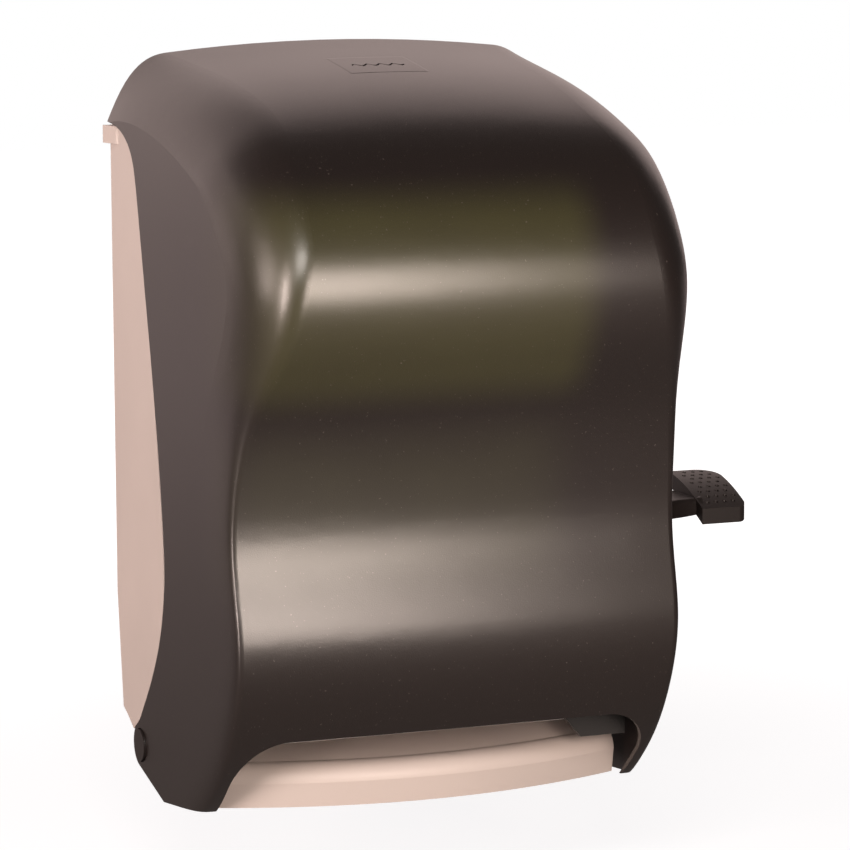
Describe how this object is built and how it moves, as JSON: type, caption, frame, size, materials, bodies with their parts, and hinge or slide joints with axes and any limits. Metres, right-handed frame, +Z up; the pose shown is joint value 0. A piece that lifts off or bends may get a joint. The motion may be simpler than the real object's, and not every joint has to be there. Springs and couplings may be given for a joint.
{
  "type": "lever roll towel dispenser",
  "caption": "Wall dispenser for roll towels: smoky hinged cover on a pale backplate, a dimpled lever on its right side that feeds paper past a serrated tear bar.",
  "frame": {"origin": "centre of the four wall holes, on the wall plane", "axes": "+Y into the wall along the wall holes, front faces -Y, +X to the right seen from the front, +Z up"},
  "size_m": [0.3253, 0.2307, 0.3936],
  "materials": {
    "smoky_plastic": "smoky brown-black moulded plastic with a fine satin texture",
    "pale_plastic": "pale pinkish beige moulded plastic, satin",
    "lever_plastic": "dark brown moulded plastic, satin",
    "black_plastic": "black moulded plastic, matt",
    "hub_plastic": "dark grey moulded plastic",
    "gear_plastic": "natural white moulded plastic",
    "rubber": "black rubber, finely ribbed",
    "steel": "ground steel bar",
    "zinc_screws": "bright zinc plated",
    "spring_steel": "spring steel",
    "blade_steel": "rolled stainless steel",
    "paper": "soft white towel paper, embossed",
    "cardboard": "brown wound cardboard"
  },
  "bodies": {
    "frame": {"backplate": "pale_plastic", "outlet_chute": "pale_plastic", "chute_screws": "zinc_screws", "drive_housing": "black_plastic", "housing_lid": "black_plastic", "housing_screws": "zinc_screws", "left_bracket": "black_plastic", "frame_screws": "zinc_screws", "roller_bushes": "gear_plastic", "lever_axle": "steel", "lever_axle_clip": "zinc_screws", "hinge_pins": "steel", "pinch_springs": "spring_steel", "tear_bar_carrier": "black_plastic", "tear_bar": "blade_steel", "tear_bar_screws": "zinc_screws", "roll_arm_left": "black_plastic", "roll_arm_screws": "zinc_screws", "roll_hub_left": "hub_plastic", "roll_arm_pin": "steel", "roll_arm_spring": "spring_steel", "latch_catch": "gear_plastic", "lever_return_spring": "spring_steel", "paper_web": "paper"},
    "cover": {"front_cover": "smoky_plastic", "latch_guide": "black_plastic", "latch_screws": "zinc_screws", "latch_tongue": "gear_plastic"},
    "lever": {"lever": "lever_plastic", "lever_sector_gear": "gear_plastic"},
    "feed_roller": {"feed_shaft": "steel", "feed_shaft_clip": "zinc_screws", "feed_roller_core": "hub_plastic", "feed_roller_sleeves": "rubber", "drive_pinion": "gear_plastic", "one_way_clutch": "steel"},
    "pinch_roller": {"pinch_shaft": "steel", "pinch_roller_sleeves": "rubber"},
    "roll_arm": {"roll_arm_right": "black_plastic", "roll_hub_right": "hub_plastic"},
    "roll": {"paper_core": "cardboard", "paper_roll": "paper"}
  },
  "joints": [
    {"name": "cover_hinge", "type": "hinge", "parent": "frame", "child": "cover", "pos_m": [0, -0.043, -0.1916], "axis": [1, 0, 0], "range_deg": [0, 90], "deforming": ["latch_tongue"]},
    {"name": "lever_pivot", "type": "hinge", "parent": "frame", "child": "lever", "pos_m": [0, -0.045, -0.0938], "axis": [1, 0, 0], "range_deg": [0, 45], "stiffness_Nm_per_rad": 0.5, "springref_deg": -34.38, "deforming": ["lever_return_spring"]},
    {"name": "feed_roller_spin", "type": "hinge", "parent": "frame", "child": "feed_roller", "pos_m": [0, -0.10614, -0.13504], "axis": [1, 0, 0], "range_deg": [-250, 0]},
    {"name": "pinch_roller_spin", "type": "hinge", "parent": "frame", "child": "pinch_roller", "pos_m": [0, -0.08067, -0.14431], "axis": [1, 0, 0], "range_deg": [0, 448]},
    {"name": "roll_spin", "type": "hinge", "parent": "frame", "child": "roll", "pos_m": [0, -0.11, 0.057], "axis": [1, 0, 0], "range_deg": [-75, 0]},
    {"name": "roll_arm_swing", "type": "hinge", "parent": "frame", "child": "roll_arm", "pos_m": [0.0975, -0.014, 0.057], "axis": [0, 0, 1], "range_deg": [0, 10], "stiffness_Nm_per_rad": 1.2, "springref_deg": -20.05, "deforming": ["roll_arm_spring"]}
  ],
  "couplings": [
    {"joint": "feed_roller_spin", "follows": "lever_pivot", "ratio": -5.5556},
    {"joint": "pinch_roller_spin", "follows": "lever_pivot", "ratio": 9.9415},
    {"joint": "roll_spin", "follows": "lever_pivot", "ratio": -1.6385}
  ]
}
